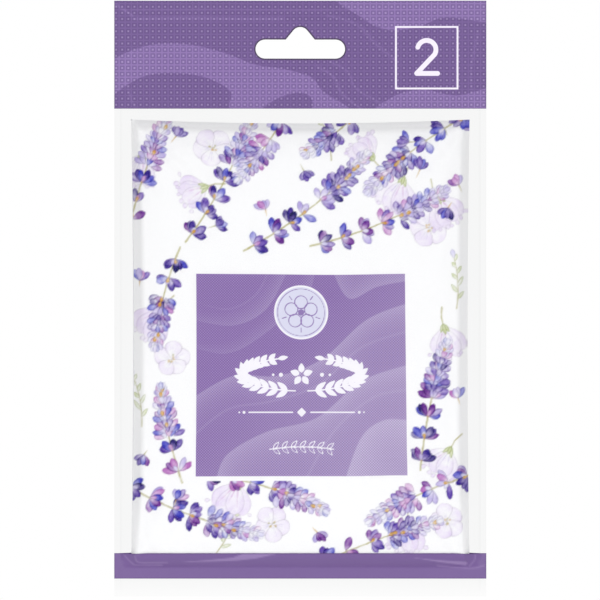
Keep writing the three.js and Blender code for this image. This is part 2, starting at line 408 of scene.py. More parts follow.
    def whorl(self, at, heading, depth):
        """The florets round one joint of the stem, the outer and darker ones first."""
        for side in (-1, 1):
            self.thorn(at, heading + side * self.spread(0.7, 1.4), self.spread(2.4, 3.8))
        tints = DEEP if self.random.random() < depth else MIDDLE
        for turn in (-1.15, 1.2, -0.7, 0.75, -0.25, 0.3):
            if self.random.random() < 0.12:
                continue
            across = across_at(heading) * math.copysign(0.45, turn)
            long, wide = self.spread(4.0, 5.6), self.spread(2.1, 2.8)
            wash, tip = self.spread(0.5, 0.9), self.spread(0.1, 0.9)
            way = heading + turn + self.spread(-0.2, 0.2)
            self.petal(at + across, way, long, wide, self.pick(tints), wash, 0.55, tip)
        self.petal(at, heading + self.spread(-0.6, 0.6), 2.6, 1.5, self.pick(LIGHT), 0.6, 0.5, 0.4)
        if self.random.random() < 0.5:
            self.petal(at, heading + self.spread(-0.5, 0.5), 1.9, 1.1, OCHRE, 0.8, 0.4)

    def tier(self, at, heading, left, depth):
        """One row of the close head. left runs from 1 at its foot to 0 at its tip."""
        across = across_at(heading)
        spread_out = 0.45 + 0.75 * left**0.7
        deep = self.random.random() < depth * (0.25 + 0.75 * left)
        for place in (-1.0, 1.0, -0.45, 0.5, 0.0):
            tints = (DEEP if deep else MIDDLE) if left > 0.35 else MIDDLE[:1] + LIGHT
            long = self.spread(3.2, 4.4) * (0.75 + 0.3 * left)
            wide = self.spread(1.9, 2.5) * (0.8 + 0.25 * left)
            wash = self.spread(0.4, 0.8) * (0.65 + 0.35 * left)
            start = at + across * place * (0.7 + 1.0 * left)
            way = heading + place * spread_out + self.spread(-0.2, 0.2)
            self.petal(start, way, long, wide, self.pick(tints), wash, 0.55, self.spread(-0.1, 0.7))
        if self.random.random() < 0.28:
            self.petal(at + across * self.spread(-1, 1), heading, 2.0, 1.3, OCHRE, 0.8, 0.4)

    def blossom(self, middle, radius, turn):
        """A very pale open flower with broad petals, some of them behind the others."""
        middle = np.array(middle, float)
        for k in (0, 2, 4, 1, 3):
            angle = turn + k * 2 * math.pi / 5 + self.spread(-0.12, 0.12)
            wash = self.spread(0.25, 0.55)
            long = radius * self.spread(0.9, 1.05)
            self.petal(middle, angle, long, radius * 0.95, BLUSH, wash, 0.62, 0.3, 1.5, 0.9)
            for fan in (-0.2, 0.05, 0.24):
                way = way_at(angle + fan)
                vein = [middle + way * 0.2 * radius, middle + way * self.spread(0.5, 0.8) * radius]
                self.stroke(vein, 0.28, LILAC, 0.2, 0.1, 0.9)
        for k in range(7):
            angle = self.spread(0, 2 * math.pi)
            at = middle + self.spread(0.1, 1.1) * way_at(angle)
            self.petal(at, angle, 0.9, 0.6, self.pick([OCHRE, OLIVE]), 0.5, 0.4)

    def bell(self, base, angle, length):
        """A pale bell flower seen from the side, with a green calyx and a frilled mouth."""
        base = np.array(base, float)
        way = way_at(angle)
        stalk = [base - 6.5 * way + 1.2 * across_at(angle), base - 3 * way, base]
        self.stroke(stalk, 0.5, OLIVE, 0.5, 0.3, 0.2)
        for turn in (-0.52, 0.5, -0.2, 0.18):
            wash = self.spread(0.3, 0.6)
            long = length * self.spread(0.9, 1.05)
            self.petal(base, angle + turn, long, 0.52 * length, BLUSH, wash, 0.4, 0.45, 1.6, 0.88)
        for turn in np.linspace(-0.66, 0.62, 7):
            at = base + 0.9 * length * way_at(angle + turn)
            frill = angle + turn + self.spread(-0.9, 0.9)
            long, wide = self.spread(1.4, 2.4), self.spread(1.2, 1.9)
            self.petal(at, frill, long, wide, BLUSH, self.spread(0.5, 0.9), 0.5, cover=0.8)
        for turn in (-0.45, -0.1, 0.3):
            heading = way_at(angle + turn)
            vein = [base + 0.25 * length * heading, base + self.spread(0.6, 0.95) * length * heading]
            self.stroke(vein, 0.4, self.pick([LILAC, MAUVE]), 0.34, 0.1, 0.9)
        for turn in (-0.5, 0.45, 0.0):
            self.petal(base - 0.6 * way, angle + turn, self.spread(3.0, 4.2), 1.3, SAGE, 0.6, 0.5, 0.2, 0.9)

    def leaves(self, base, angle, length):
        """A thin sprig with narrow leaves and a bud at the tip."""
        points, headings = self.stem(base, angle, length, 0.4)
        self.stroke(points, 0.45, OLIVE, 0.5)
        for k, at in enumerate(range(8, STEM_STEPS, 5)):
            turn = headings[at] + (1 if k % 2 else -1) * self.spread(0.5, 0.8)
            long = self.spread(3.4, 5.0) * (1.15 - at / 66)
            self.petal(points[at], turn, long, 1.3, SAGE, self.spread(0.3, 0.5), 0.45, fullness=0.9)
        self.petal(points[-1], headings[-1], 3.4, 1.7, PALE_LILAC, 0.6, 0.5)

    def bud(self, at, angle, depth):
        """A loose floret with a short stalk."""
        at = np.array(at, float)
        self.thorn(at, angle + math.pi + self.spread(-0.4, 0.4), self.spread(2.0, 3.4))
        tints = DEEP if self.random.random() < depth else MIDDLE
        for turn in (-0.75, 0.7, -0.2, 0.25):
            long, wide = self.spread(3.4, 4.8), self.spread(1.9, 2.5)
            tint, wash = self.pick(tints), self.spread(0.45, 0.8)
            self.petal(at, angle + turn, long, wide, tint, wash, 0.55, self.spread(0, 0.7))

    def sample(self, places, radius):
        """The linear colour at each place, averaged over a square of this radius."""
        reach = max(1, round(radius * DOTS_PER_MM))
        padded = np.pad(self.colour, ((reach, reach), (reach, reach), (0, 0)), mode="edge")
        total = np.zeros_like(self.colour)
        span = 2 * reach + 1
        for j in range(span):
            for i in range(span):
                total += padded[j : j + total.shape[0], i : i + total.shape[1]]
        total /= span * span
        last = (len(self.x) - 1, len(self.z) - 1)
        i, j = np.clip(np.rint((places + self.half) * DOTS_PER_MM).astype(int), 0, last).T
        return linear(total[j, i])


def linear(colour):
    """Linear light from sRGB."""
    colour = np.asarray(colour, float)
    return np.where(colour <= 0.04045, colour / 12.92, ((colour + 0.055) / 1.055) ** 2.4)


def painted_sheet():
    """The flowers round the panel, which stays bare."""
    sheet = Watercolour(SHEET_HALF, PAINT_SEED)
    for x, z, angle, length in LEAVES:
        sheet.leaves((x, z), math.radians(angle), length)
    for x, z, radius in BLOSSOMS:
        sheet.blossom((x, z), radius, sheet.spread(0, 1.2))
    for x, z, angle, length in BELLS:
        sheet.bell((x, z), math.radians(angle), length)
    for x, z, angle, length, bend, depth in LAVENDER:
        sheet.lavender((x, z), math.radians(angle), length, bend, depth)
    for x, z, angle in BUDS:
        sheet.bud((x, z), math.radians(angle), 0.5)
    depth = PAPER - sheet.colour
    inked = PAPER - depth * (INK_STRENGTH + INK_CONTRAST * depth.max(2, keepdims=True))
    grey = inked.mean(2, keepdims=True)
    sheet.colour = np.clip(grey + INK_SATURATION * (inked - grey), 0.02, 1)
    x, z = np.meshgrid(sheet.x, sheet.z)
    beside = np.abs(x - PANEL_MIDDLE[0]) - PANEL_HALF[0]
    above = np.abs(z - PANEL_MIDDLE[1]) - PANEL_HALF[1]
    sheet.colour[np.maximum(beside, above) < PANEL_MARGIN] = PAPER
    return sheet


# Line ornaments: distances from their edges, negative in the ink


def panel_ornament(places):
    """White ink on the panel: a garland, a rule with dots and a small twig."""
    ink = np.full(len(places), FAR)

    def add(distance):
        np.minimum(ink, distance, out=ink)

    def add_dot(at, radius):
        add(distance_from(places, at) - radius)

    middle = np.array([MEDAL_MIDDLE[0], 0.0])
    wreath = middle + (0, -11.4)
    heart = wreath + (0, -0.2)
    rule = middle + (0, -25.0)
    for side in (-1, 1):
        flip = np.array([side, 1.0])
        stem = wreath + arc((0, 0), 1.0, -84, 66, 60) * (21.0, 6.0) * flip
        add(line_distance(places, stem) - 0.26)
        for k in range(3, 58, 4):
            angle = heading_at(stem, k)
            long = 5.2 - 0.03 * k
            for turn in (-0.6, 0.6):
                add(shape_distance(places, leaf_outline(stem[k], angle + turn, long, 1.9)))
        add(shape_distance(places, leaf_outline(stem[-1], angle, 4.0, 1.7)))
        add(line_distance(places, rule + np.array([(3.2, 0), (19.0, 0)]) * flip) - 0.26)
        dots = ((rule, 20.7, 0.55), (rule, 22.4, 0.36), (heart, 7.4, 0.75), (heart, 10.2, 0.5))
        for at, x, radius in dots:
            add_dot(at + (x * side, 0), radius)
    for k in range(5):
        angle = math.radians(90 + 72 * k)
        foot = heart + 0.7 * way_at(angle)
        add(shape_distance(places, leaf_outline(foot, angle, 3.6, 2.3)))
    add(shape_distance(places, rule + np.array([(0, 1.7), (1.7, 0), (0, -1.7), (-1.7, 0)])))
    twig = middle + np.array([(-11.5, -38.2), (-4.0, -37.4), (4.0, -37.4), (11.5, -38.2)])
    twig = smooth_line(twig, 6)
    add(line_distance(places, twig) - 0.2)
    for k in range(2, 23, 3):
        angle = heading_at(twig, k)
        for turn in (-0.8, 0.8):
            outline = leaf_outline(twig[k], angle + turn, 3.0, 1.2)
            add(np.abs(shape_distance(places, outline)) - 0.16)
    return ink


def medal_ornament(places):
    """Violet ink on the medallion: an outlined floret with five petals in a ring."""
    away = distance_from(places, MEDAL_MIDDLE)
    ink = np.minimum(np.abs(away - 8.5) - 0.16, away - 1.1)
    for k in range(5):
        oval = MEDAL_MIDDLE + 3.7 * way_at(math.radians(90 + 72 * k))
        ink = np.minimum(ink, np.abs(distance_from(places, oval) - 2.3) - 0.2)
        ray = way_at(math.radians(126 + 72 * k))
        tick = [MEDAL_MIDDLE + 5.6 * ray, MEDAL_MIDDLE + 7.2 * ray]
        ink = np.minimum(ink, line_distance(places, tick) - 0.2)
    return ink


def smooth_line(points, steps=12):
    """A Catmull-Rom curve through points, with this many steps for each."""
    return cubic(np.asarray(points, float), steps * len(points))


def cubic(values, count):
    """Resamples an array along its first axis with a Catmull-Rom curve."""
    last = len(values) - 1
    place = np.linspace(0, last, count)
    k = np.minimum(place.astype(int), last - 1)
    t = (place - k).reshape((-1,) + (1,) * (values.ndim - 1))
    a, b, c, d = (values[np.clip(k + shift, 0, last)] for shift in (-1, 0, 1, 2))
    return b + 0.5 * t * (c - a + t * (2 * a - 5 * b + 4 * c - d + t * (3 * (b - c) + d - a)))


def mark_ornament(places):
    """White ink on the header: a square frame round a plain figure two."""
    beyond = np.abs(places - MARK_MIDDLE) - MARK_HALF
    frame_ink = np.abs(beyond.max(1)) - MARK_LINE / 2
    bowl = arc((0, 2.9), 3.3, 165, -32, 20)
    figure = np.vstack([bowl, [(-3.6, -5.6), (3.9, -5.6)]]) + MARK_MIDDLE
    return np.minimum(frame_ink, line_distance(places, figure) - 0.85)


# Marbling: light that starts at a sharp line and fades away on one side of it. Painted highlights along the
# film's creases are drawn here too.


def side_distance(places, points):
    """Distance from a line through points, positive on its left."""
    points = np.asarray(points, float)
    nearest = np.full(len(places), 1e9)
    signed = np.zeros(len(places))
    for a, b in zip(points, points[1:]):
        along = b - a
        t = np.clip((places - a) @ along / (along @ along), 0, 1)
        away = places - a - t[:, None] * along
        distance = np.hypot(*away.T)
        side = np.sign(along[0] * (places - a)[:, 1] - along[1] * (places - a)[:, 0])
        closer = distance < nearest - 1e-9
        nearest = np.where(closer, distance, nearest)
        signed = np.where(closer, side * distance, signed)
    return signed


def marbled(places, veils, threads):
    """The light of all veils at each place: line, strength and the width over which it fades."""
    light = np.zeros(len(places))
    for line, strength, fade in veils:
        distance = side_distance(places, smooth_line(line))
        light += strength * smoothstep(-0.2, 0.2, distance) * np.exp(-np.maximum(distance, 0) / fade)
    for line, strength in threads:
        distance = line_distance(places, smooth_line(line))
        light += strength * np.exp(-((distance / 0.4) ** 2))
    return light


def panel_marbling(places):
    return marbled(places, PANEL_VEILS, PANEL_THREADS)


# The header's thin light lines: printed marbling threads, and painted highlights along creases in the film.
def header_marbling_and_gloss(places):
    return marbled(places, [], HEADER_THREADS_AND_GLOSS)


def header_fields(places):
    """Distance from the edge of the header's light fields, negative in them."""
    field = np.full(len(places), FAR)
    for outline in HEADER_FIELDS:
        field = np.minimum(field, shape_distance(places, closed_line(outline)))
    for outline in HEADER_HOLLOWS:
        field = np.maximum(field, -shape_distance(places, closed_line(outline)))
    return field


def closed_line(points):
    """A smooth closed outline through points."""
    points = np.asarray(points, float)
    count = len(points)
    turned = np.vstack([points[-2:], points, points[:3]])
    return cubic(turned, 6 * (count + 4) + 1)[12 : 12 + 6 * count]


def band_gloss(places):
    """Painted highlights along the creases of the band's film, from 0 to 1."""
    light = np.zeros(len(places))
    for outline in BAND_GLOSS_STREAKS:
        light = np.maximum(light, 0.85 * smoothstep(0.25, -0.25, shape_distance(places, outline)))
    for line in BAND_CREASE_HIGHLIGHTS:
        away = line_distance(places, smooth_line(line))
        light = np.maximum(light, 0.5 * np.exp(-((away / 0.3) ** 2)))
    return light


PANEL_VEILS = [
    ([(39, 14), (24, 8), (8, -6), (-8, -12), (-24, -12), (-39, -20)], 0.36, 6.0),
    ([(39, -8), (22, -14), (6, -27), (-12, -32), (-26, -40), (-30, -49)], 0.34, 8.0),
    ([(-39, 8), (-24, 6), (-12, 12), (-4, 26)], 0.24, 7.0),
    ([(39, -28), (30, -28), (22, -34), (16, -49)], 0.36, 14.0),
    ([(12, 26), (18, 16), (28, 20), (39, 22)], 0.3, 8.0),
    ([(-39, -2), (-26, -4), (-14, 2), (2, 16), (6, 26)], 0.2, 5.0),
]
PANEL_THREADS = [
    ([(39, 4), (22, -2), (7, -15), (-10, -21), (-26, -24), (-39, -34)], 0.12),
    ([(39, -17), (26, -20), (12, -32), (2, -49)], 0.12),
    ([(-39, 15), (-26, 12), (-16, 17), (-11, 26)], 0.1),
]
HEADER_FIELDS = [
    [(-70, -14), (-56, -7), (-42, -6), (-28, -9), (-16, -13.5), (-6, -15), (4, -18), (8, -23), (17, -31)]
    + [(-22, -31), (-25, -23), (-34, -18), (-46, -16.5), (-57, -18), (-70, -25)],
    [(15, 12), (21, 4), (31, -1), (42, 0), (52, 3.4), (70, 2), (70, 12)],
    [(27, -33), (33, -25), (44, -22.5), (56, -24.5), (70, -22), (70, -33)],
]
HEADER_HOLLOWS = [
    [(-14, -31), (-9, -26), (-1, -23.5), (4, -25.5), (2, -31)],
]
# Painted highlights on the band: light streaks where the film bends over the sachet's lower corners, and
# thin lines along its creases.
BAND_GLOSS_STREAKS = [
    [(-42, -191.1), (-32, -190.2), (-24, -189.4), (-20.5, -188)]
    + [(-8, -188), (-16, -189.8), (-22, -190.5), (-30, -190.9)],
    [(40.6, -189.5), (51, -190.5), (59, -191.0), (59.8, -191.6), (59, -192.4), (50.8, -191.3)],
]
BAND_CREASE_HIGHLIGHTS = [
    [(-62.8, -188.6), (-60.5, -191.2), (-58.2, -192.3), (-49.4, -192.3)],
    [(-58.9, -188.6), (-58.3, -190.8), (-56, -191.4), (-47.6, -191.3)],
    [(62.5, -188.5), (62.2, -190.5), (60.5, -192.5)],
    [(49, -192.5), (56, -193.2), (61.8, -193.4), (65.8, -192.5)],
]
# Thin light lines on the header. The first three are printed marbling threads. The rest are painted
# highlights along creases in the film.
HEADER_THREADS_AND_GLOSS = [
    ([(6, -14), (12, -18), (15, -24), (23, -30)], 0.5),
    ([(10, -12), (17, -16), (20, -22), (30, -28)], 0.4),
    ([(10, 4), (20, 1), (27, -6), (34, -12)], 0.45),
    ([(-60, 2.9), (-40, 3.1), (-20, 2.9), (-6, 3.0)], 0.8),
    ([(-60, 6.2), (-30, 6.4), (0, 6.0), (30, 6.6), (60, 6.2)], 0.3),
    ([(-66, 8), (-60, 4.2)], 0.7),
    ([(-60, -8), (-62.5, -16), (-61, -24), (-59, -29)], 0.4),
    ([(62, -29), (61, -16), (63.5, -2)], 0.4),
]


# Meshes


def mesh_object(name, points, faces, materials, indices=None):
    """A mesh from millimetre points, with one material index per face."""
    mesh = bpy.data.meshes.new(name)
    mesh.from_pydata((np.asarray(points) * MM).tolist(), [], faces)
    for material in materials:
        mesh.materials.append(material)
    if indices is not None:
        mesh.polygons.foreach_set("material_index", np.asarray(indices, np.int32))
    mesh.polygons.foreach_set("use_smooth", np.ones(len(mesh.polygons), bool))
    mesh.update()
    piece = bpy.data.objects.new(name, mesh)
    bpy.context.scene.collection.objects.link(piece)
    return piece


def set_values(piece, name, kind, key, values):
    made = piece.data.attributes.new(name, kind, "POINT")
    made.data.foreach_set(key, np.asarray(values, np.float32).ravel())


def set_numbers(piece, name, values):
    set_values(piece, name, "FLOAT", "value", values)


def set_flat(piece, places):
    """Keeps where each vertex lies in the flat sheet, for the materials."""
    set_values(piece, "flat", "FLOAT_VECTOR", "vector", np.column_stack([places, np.zeros(len(places))]))


def near_values(places, near, beyond, function):
    """A function's values at the places that are near, and one value at all others."""
    values = np.full(len(places), float(beyond))
    values[near] = function(places[near])
    return values


def sharpen(piece, border):
    """Keeps the shading of two faces apart along edges between the given vertices."""
    ends = np.empty(2 * len(piece.data.edges), np.int32)
    piece.data.edges.foreach_get("vertices", ends)
    sharp = np.isin(ends, border).reshape(-1, 2).all(1)
    made = piece.data.attributes.new("sharp_edge", "BOOLEAN", "EDGE")
    made.data.foreach_set("value", sharp)


def set_bake_map(piece, places):
    """Lays the piece out flat in the OFBake map, for baked textures. places are its vertices in the plane.
    """
    low, high = places.min(0), places.max(0)
    unit = (places - low) / (high - low).max()
    corners = np.empty(len(piece.data.loops), np.int32)
    piece.data.loops.foreach_get("vertex_index", corners)
    layer = piece.data.uv_layers.new(name="OFBake")
    layer.data.foreach_set("uv", (0.01 + 0.98 * unit[corners]).astype(np.float32).ravel())


def triangulated(points, edges):
    """A Delaunay mesh of flat points that keeps the given edges."""
    made = delaunay_2d_cdt([tuple(p) for p in points], edges, [], 0, 1e-4)
    return np.array([tuple(v) for v in made[0]]), np.array(made[2])


# Sachets


def shoulder(distance, reach, power):
    """The share of the full dome at a distance from where it starts."""
    reached = np.clip(distance / reach, 0, 1)
    return (1 - (1 - reached) ** 2.2) ** power


def edge_roll(distance, width):
    """A round that lifts the paper close to the edge."""
    reached = np.clip(distance / width, 0, 1)
    return 1 - (1 - reached) ** 2


def end_bow(v):
    return np.where(v < 0, LOWER_BOW, UPPER_BOW)


def puffed_form(u, v):
    """x, depth and z of the sachet's front at grid places that run from -1 to 1.

    The paper turns up in a round along its edges. It is flatter at its lower end, behind the band.
    """
    from_side = (1 - np.abs(u)) * SHEET_HALF[0]
    from_end = (1 - np.abs(v)) * SHEET_HALF[1]
    upper = shoulder(from_end - RIM_WIDTH, SHOULDER, 0.8)
    lower = shoulder(from_end - RIM_WIDTH - 1, LOWER_SHOULDER, 1.2)
    dome = shoulder(from_side - RIM_WIDTH, SHOULDER, 0.8) * np.where(v < 0, lower, upper)
    loss = np.where(v < 0, LOWER_SHARE_LOSS, UPPER_SHARE_LOSS)
    share = EDGE_SHARE - loss * smoothstep(0.5, 0.97, np.abs(v))
    end_roll = edge_roll(from_end, np.where(v < 0, LOWER_ROUND, UPPER_ROUND))
    roll = share * edge_roll(from_side, SIDE_ROUND * share) * end_roll
    depth = CROWN * (1 - (1 - dome) * (1 - roll))
    x = u * (SHEET_HALF[0] - SIDE_BOW * (1 - v**2)) + EDGE_SHIFT * (1 - v**2)
    z = v * (SHEET_HALF[1] - end_bow(v) * (1 - u**2))
    return np.stack([x, depth, z], -1)


def sachet_front(step, moved):
    """Flat places and puffed places of the front, as grids of rows and columns."""
    flat, u, v = sheet_grid(step)
    rows, columns = u.shape
    eased = cubic(cubic(moved, rows).swapaxes(0, 1), columns).swapaxes(0, 1)
    return flat, puffed_form(u, v) + eased


def sheet_grid(step):
    """Places on the flat sheet, in millimetres and from -1 to 1."""
    columns = round(2 * SHEET_HALF[0] / step) + 1
    rows = round(2 * SHEET_HALF[1] / step) + 1
    v, u = np.meshgrid(np.linspace(-1, 1, rows), np.linspace(-1, 1, columns), indexing="ij")
    return np.stack([u * SHEET_HALF[0], v * SHEET_HALF[1]], -1), u, v


def grid_faces(rows, columns):
    index = np.arange(rows * columns).reshape(rows, columns)
    quads = np.stack([index[:-1, :-1], index[:-1, 1:], index[1:, 1:], index[1:, :-1]], -1)
    return index, quads.reshape(-1, 4)


def settled_paper():
    """The creases that the front sheet takes when it settles as cloth, on a coarse grid.

    The sheet is held along the sealed rim, keeps its flat size and is pressed out by the filling.
    It runs at many times the size, where the solver is steadier. The film stops it from swelling,
    so its broad movement is left out and only the creases stay.
    """
    flat, u, v = sheet_grid(CLOTH_STEP)
    rows, columns = u.shape
    form = puffed_form(u, v)
    noise = np.random.default_rng(CLOTH_SEED)
    start = form.copy()
    start[1:-1, 1:-1, 1] += noise.uniform(-0.1, 0.1, (rows - 2, columns - 2))
    index, quads = grid_faces(rows, columns)
    enlarged = start.reshape(-1, 3) * (CLOTH_SCALE, -CLOTH_SCALE, CLOTH_SCALE)
    piece = mesh_object("settling_paper", enlarged, quads.tolist(), [])
    piece.shape_key_add(name="start")
    cut = piece.shape_key_add(name="cut")
    laid = np.stack([flat[..., 0], 0 * u, flat[..., 1]], -1) * CLOTH_SCALE * MM
    cut.data.foreach_set("co", laid.astype(np.float32).ravel())
    rim = piece.vertex_groups.new(name="rim")
    border = np.concatenate([index[0], index[-1], index[1:-1, 0], index[1:-1, -1]])
    rim.add(border.tolist(), 1.0, "REPLACE")
    cloth = piece.modifiers.new("cloth", "CLOTH")
    settings = {
        "quality": 8,
        "mass": 0.2,
        "tension_stiffness": 40,
        "compression_stiffness": 40,
        "shear_stiffness": 20,
        "bending_stiffness": 0.2,
        "air_damping": 3,
        "vertex_group_mass": "rim",
        "pin_stiffness": 50,
        "rest_shape_key": cut,
        "use_pressure": True,
        "uniform_pressure_force": 1.0,
    }
    for key, value in settings.items():
        setattr(cloth.settings, key, value)
    cloth.settings.effector_weights.gravity = 0
    cloth.collision_settings.use_collision = False
    cloth.point_cache.frame_end = CLOTH_FRAMES
    scene = bpy.context.scene
    for step in range(1, CLOTH_FRAMES + 1):
        scene.frame_set(step)
    result = piece.evaluated_get(bpy.context.evaluated_depsgraph_get()).to_mesh()
    places = np.empty(3 * len(result.vertices), np.float32)
    result.vertices.foreach_get("co", places)
    scene.frame_set(1)
    bpy.data.meshes.remove(piece.data)
    moved = places.reshape(rows, columns, 3) * (1, -1, 1) / (CLOTH_SCALE * MM) - form
    swell = moved.copy()
    for _ in range(SWELL_ROUNDS):
        swell[1:-1, 1:-1] = (swell[1:-1, 1:-1] + neighbour_mean(swell)) / 2
    from_rim = np.minimum((1 - np.abs(u)) * SHEET_HALF[0], (1 - np.abs(v)) * SHEET_HALF[1])
    creases = (moved - swell) * smoothstep(0, 8, from_rim)[..., None]
    return CLOTH_LIMIT * np.tanh(creases / CLOTH_LIMIT)


def printed(places):
    """Flat places in the print, which sits a little askew on the paper."""
    x, z = places.T
    height = (z - PANEL_MIDDLE[1]) / PANEL_HALF[1]
    dip = 0.25 * np.exp(-(((x - 12) / 16) ** 2)) * smoothstep(-0.2, 1, height)
    lift = 0.4 * smoothstep(16, 38, x) * smoothstep(0.2, -1, height)
    across = (x + 0.375 + 0.195 * height) * (1 + 0.005 * height)
    return np.stack([across, z + dip - lift], -1)


def sachet(name, step, facing, moved, paint, materials):
    """A closed paper pillow. facing is -1 for the front of the pack and 1 for its back."""
    flat, form = sachet_front(step, moved)
    rows, columns = flat.shape[:2]
    index, quads = grid_faces(rows, columns)
    points = form.reshape(-1, 3) * (1, -1, 1)
    places = flat.reshape(-1, 2)
    border = np.concatenate([index[0, :-1], index[:-1, -1], index[-1, :0:-1], index[:0:-1, 0]])
    # The back is flat, and meets the front along the rim
    rim = points[border][:, [0, 2]]
    inner = flat_grid(*(np.arange(-half, half + 1, BACK_STEP) for half in BACK_HALF))
    count = len(border)
    loop = [(k, (k + 1) % count) for k in range(count)]
    made = delaunay_2d_cdt([tuple(p) for p in np.vstack([rim, inner])], loop, [], 1, 1e-5)
    ours = np.concatenate([border, len(points) + np.arange(len(inner))])
    back = np.array([[ours[made[3][k][0]] for k in face] for face in made[2]])[:, ::-1]
    from_rim = np.minimum(SHEET_HALF[0] - np.abs(inner[:, 0]), SHEET_HALF[1] - np.abs(inner[:, 1]))
    lifted = np.stack([inner[:, 0], BACK_LIFT * smoothstep(0, 3, from_rim), inner[:, 1]], 1)
    points = np.vstack([points, lifted])
    places = np.vstack([places, inner])
    layout = places.copy()
    layout[rows * columns :, 0] += 2 * SHEET_HALF[0] + 4
    places = printed(places)
    faces = quads.tolist() + back.tolist()
    kinds = [0] * len(quads) + [1] * len(back)
    shown = points - (0, RIM_PLANE, 0)
    if facing > 0:
        shown = shown * (-1, -1, 1)
    shown = shown + (0, 0, SHEET_MIDDLE)
    piece = mesh_object(name, shown, faces, materials, kinds)
    sharpen(piece, border)
    set_flat(piece, places)
    colours = paint.sample(places, step / 2)
    set_values(piece, "print", "FLOAT_COLOR", "color", np.column_stack([colours, np.ones(len(places))]))
    in_panel = (np.abs(places - PANEL_MIDDLE) < PANEL_HALF + 1).all(1)
    in_medal = distance_from(places, MEDAL_MIDDLE) < MEDAL_RADIUS + 1
    set_numbers(piece, "ink", near_values(places, in_panel, FAR, panel_ornament))
    set_numbers(piece, "violet", near_values(places, in_medal, FAR, medal_ornament))
    set_numbers(piece, "marbling_and_gloss", near_values(places, in_panel, 0, panel_marbling))
    set_bake_map(piece, layout)
    return piece, form


# Films


def sachet_height(form, x, z):
    """How far the sachet's front and the film's clearance reach at flat places. It is 0 beside it."""
    rows, columns = form.shape[:2]
    u, v = x / SHEET_HALF[0], z / SHEET_HALF[1]
    for _ in range(4):
        eased = 1 - np.minimum(v * v, 1)
        u, v = (
            (x - EDGE_SHIFT * eased) / (SHEET_HALF[0] - SIDE_BOW * eased),
            z / (SHEET_HALF[1] - end_bow(z) * (1 - np.minimum(u * u, 1))),
        )
    along = np.clip((u + 1) / 2 * (columns - 1), 0, columns - 1.001)
    down = np.clip((v + 1) / 2 * (rows - 1), 0, rows - 1.001)
    height = between(form[..., 1], along, down) + RIM_PLANE + FILM_CLEARANCE
    return np.where((np.abs(u) <= 1) & (np.abs(v) <= 1), height, 0)


def membrane(form):
    """How far the taut film stands off the middle of the pack, on a grid over the pouch.

    It is pinned along the seals and lies on the sachet at both ends of its travel.
    """
    x = np.arange(-BAG_HALF, BAG_HALF + 0.1, MEMBRANE_STEP)
    z = np.arange(TAIL_FOLD, HEADER_FOLD + 0.1, MEMBRANE_STEP)
    held = np.zeros((len(z), len(x)))
    for travel in np.linspace(0, SACHET_TRAVEL, 5):
        for aside, down in ((0, 0), (0.25, 0), (-0.25, 0), (0, 0.25), (0, -0.25)):
            below = z[:, None] - SHEET_MIDDLE - travel + down
            held = np.maximum(held, sachet_height(form, x[None, :] + aside, below))
    at_ends = (z >= ROOM_TOP) | (z <= ROOM_BOTTOM)
    sealed = at_ends[:, None] | (np.abs(x) >= BAG_HALF - SIDE_SEAL)
    held[sealed] = 0
    film = held.copy()
    for _ in range(MEMBRANE_ROUNDS):
        film[1:-1, 1:-1] = np.maximum(neighbour_mean(film), held[1:-1, 1:-1])
        film[sealed] = 0
    return x, z, film


def film_depth(grid, places):
    """The membrane at flat places, between its grid points. It is 0 on the header."""
    x, z, film = grid
    along = np.clip((places[:, 0] - x[0]) / MEMBRANE_STEP, 0, len(x) - 1.001)
    down = np.clip((places[:, 1] - z[0]) / MEMBRANE_STEP, 0, len(z) - 1.001)
    return np.where(places[:, 1] < HEADER_FOLD, between(film, along, down), 0)


def steps_between(low, high, step):
    return np.linspace(low, high, max(2, round((high - low) / step) + 1))


def film_plan():
    """Flat points of a film from the header's top to the tail's fold, and its triangles."""
    seal = BAG_HALF - SIDE_SEAL
    seal_steps = steps_between(seal, BAG_HALF, SEAL_STEP)
    across = np.r_[-seal_steps[::-1], steps_between(-seal, seal, FILM_STEP)[1:-1], seal_steps]
    down = np.r_[
        steps_between(BAND_TOP, ROOM_TOP - 3, FILM_STEP)[1:],
        steps_between(ROOM_TOP - 3, HEADER_FOLD - 0.5, SEAL_STEP)[1:],
        steps_between(HEADER_FOLD - 0.5, HEADER_FOLD, FOLD_STEP)[1:],
    ]
    band_down = steps_between(TAIL_FOLD, BAND_TOP, BAND_STEP)
    band = flat_grid(steps_between(-BAG_HALF, BAG_HALF, SEAL_STEP), band_down)
    header_across = steps_between(-BAG_HALF, BAG_HALF, HEADER_STEP)
    header_down = np.r_[HEADER_FOLD + FOLD_STEP, steps_between(HEADER_FOLD + 0.5, HEADER_TOP, HEADER_STEP)]
    slot = slot_outline()
    header = flat_grid(header_across, header_down)
    header = header[shape_distance(header, slot) > 0.35]
    in_mark = (np.abs(header - MARK_MIDDLE) < MARK_HALF + 1).all(1)
    reach = MARK_HALF + 0.9
    fine = [steps_between(middle - reach, middle + reach, MARK_STEP) for middle in MARK_MIDDLE]
    header = np.vstack([header[~in_mark], flat_grid(*fine)])
    corners = [(-BAG_HALF, TAIL_FOLD), (BAG_HALF, TAIL_FOLD)]
    corners += [(BAG_HALF, HEADER_TOP), (-BAG_HALF, HEADER_TOP)]
    lines = [(side * BAG_HALF, z) for z in (HEADER_FOLD, BAND_TOP) for side in (-1, 1)]
    count = len(slot)
    edges = [(0, 1), (1, 2), (2, 3), (3, 0), (4, 5), (6, 7)]
    edges += [(8 + k, 8 + (k + 1) % count) for k in range(count)]
    places = np.vstack([corners, lines, slot, band, flat_grid(across, down), header])
    plan, faces = triangulated(places, edges)
    middles = plan[faces].mean(1)
    return plan, faces[shape_distance(middles, slot) > 0]


def flat_grid(across, down):
    x, z = np.meshgrid(across, down)
    return np.stack([x.ravel(), z.ravel()], 1)


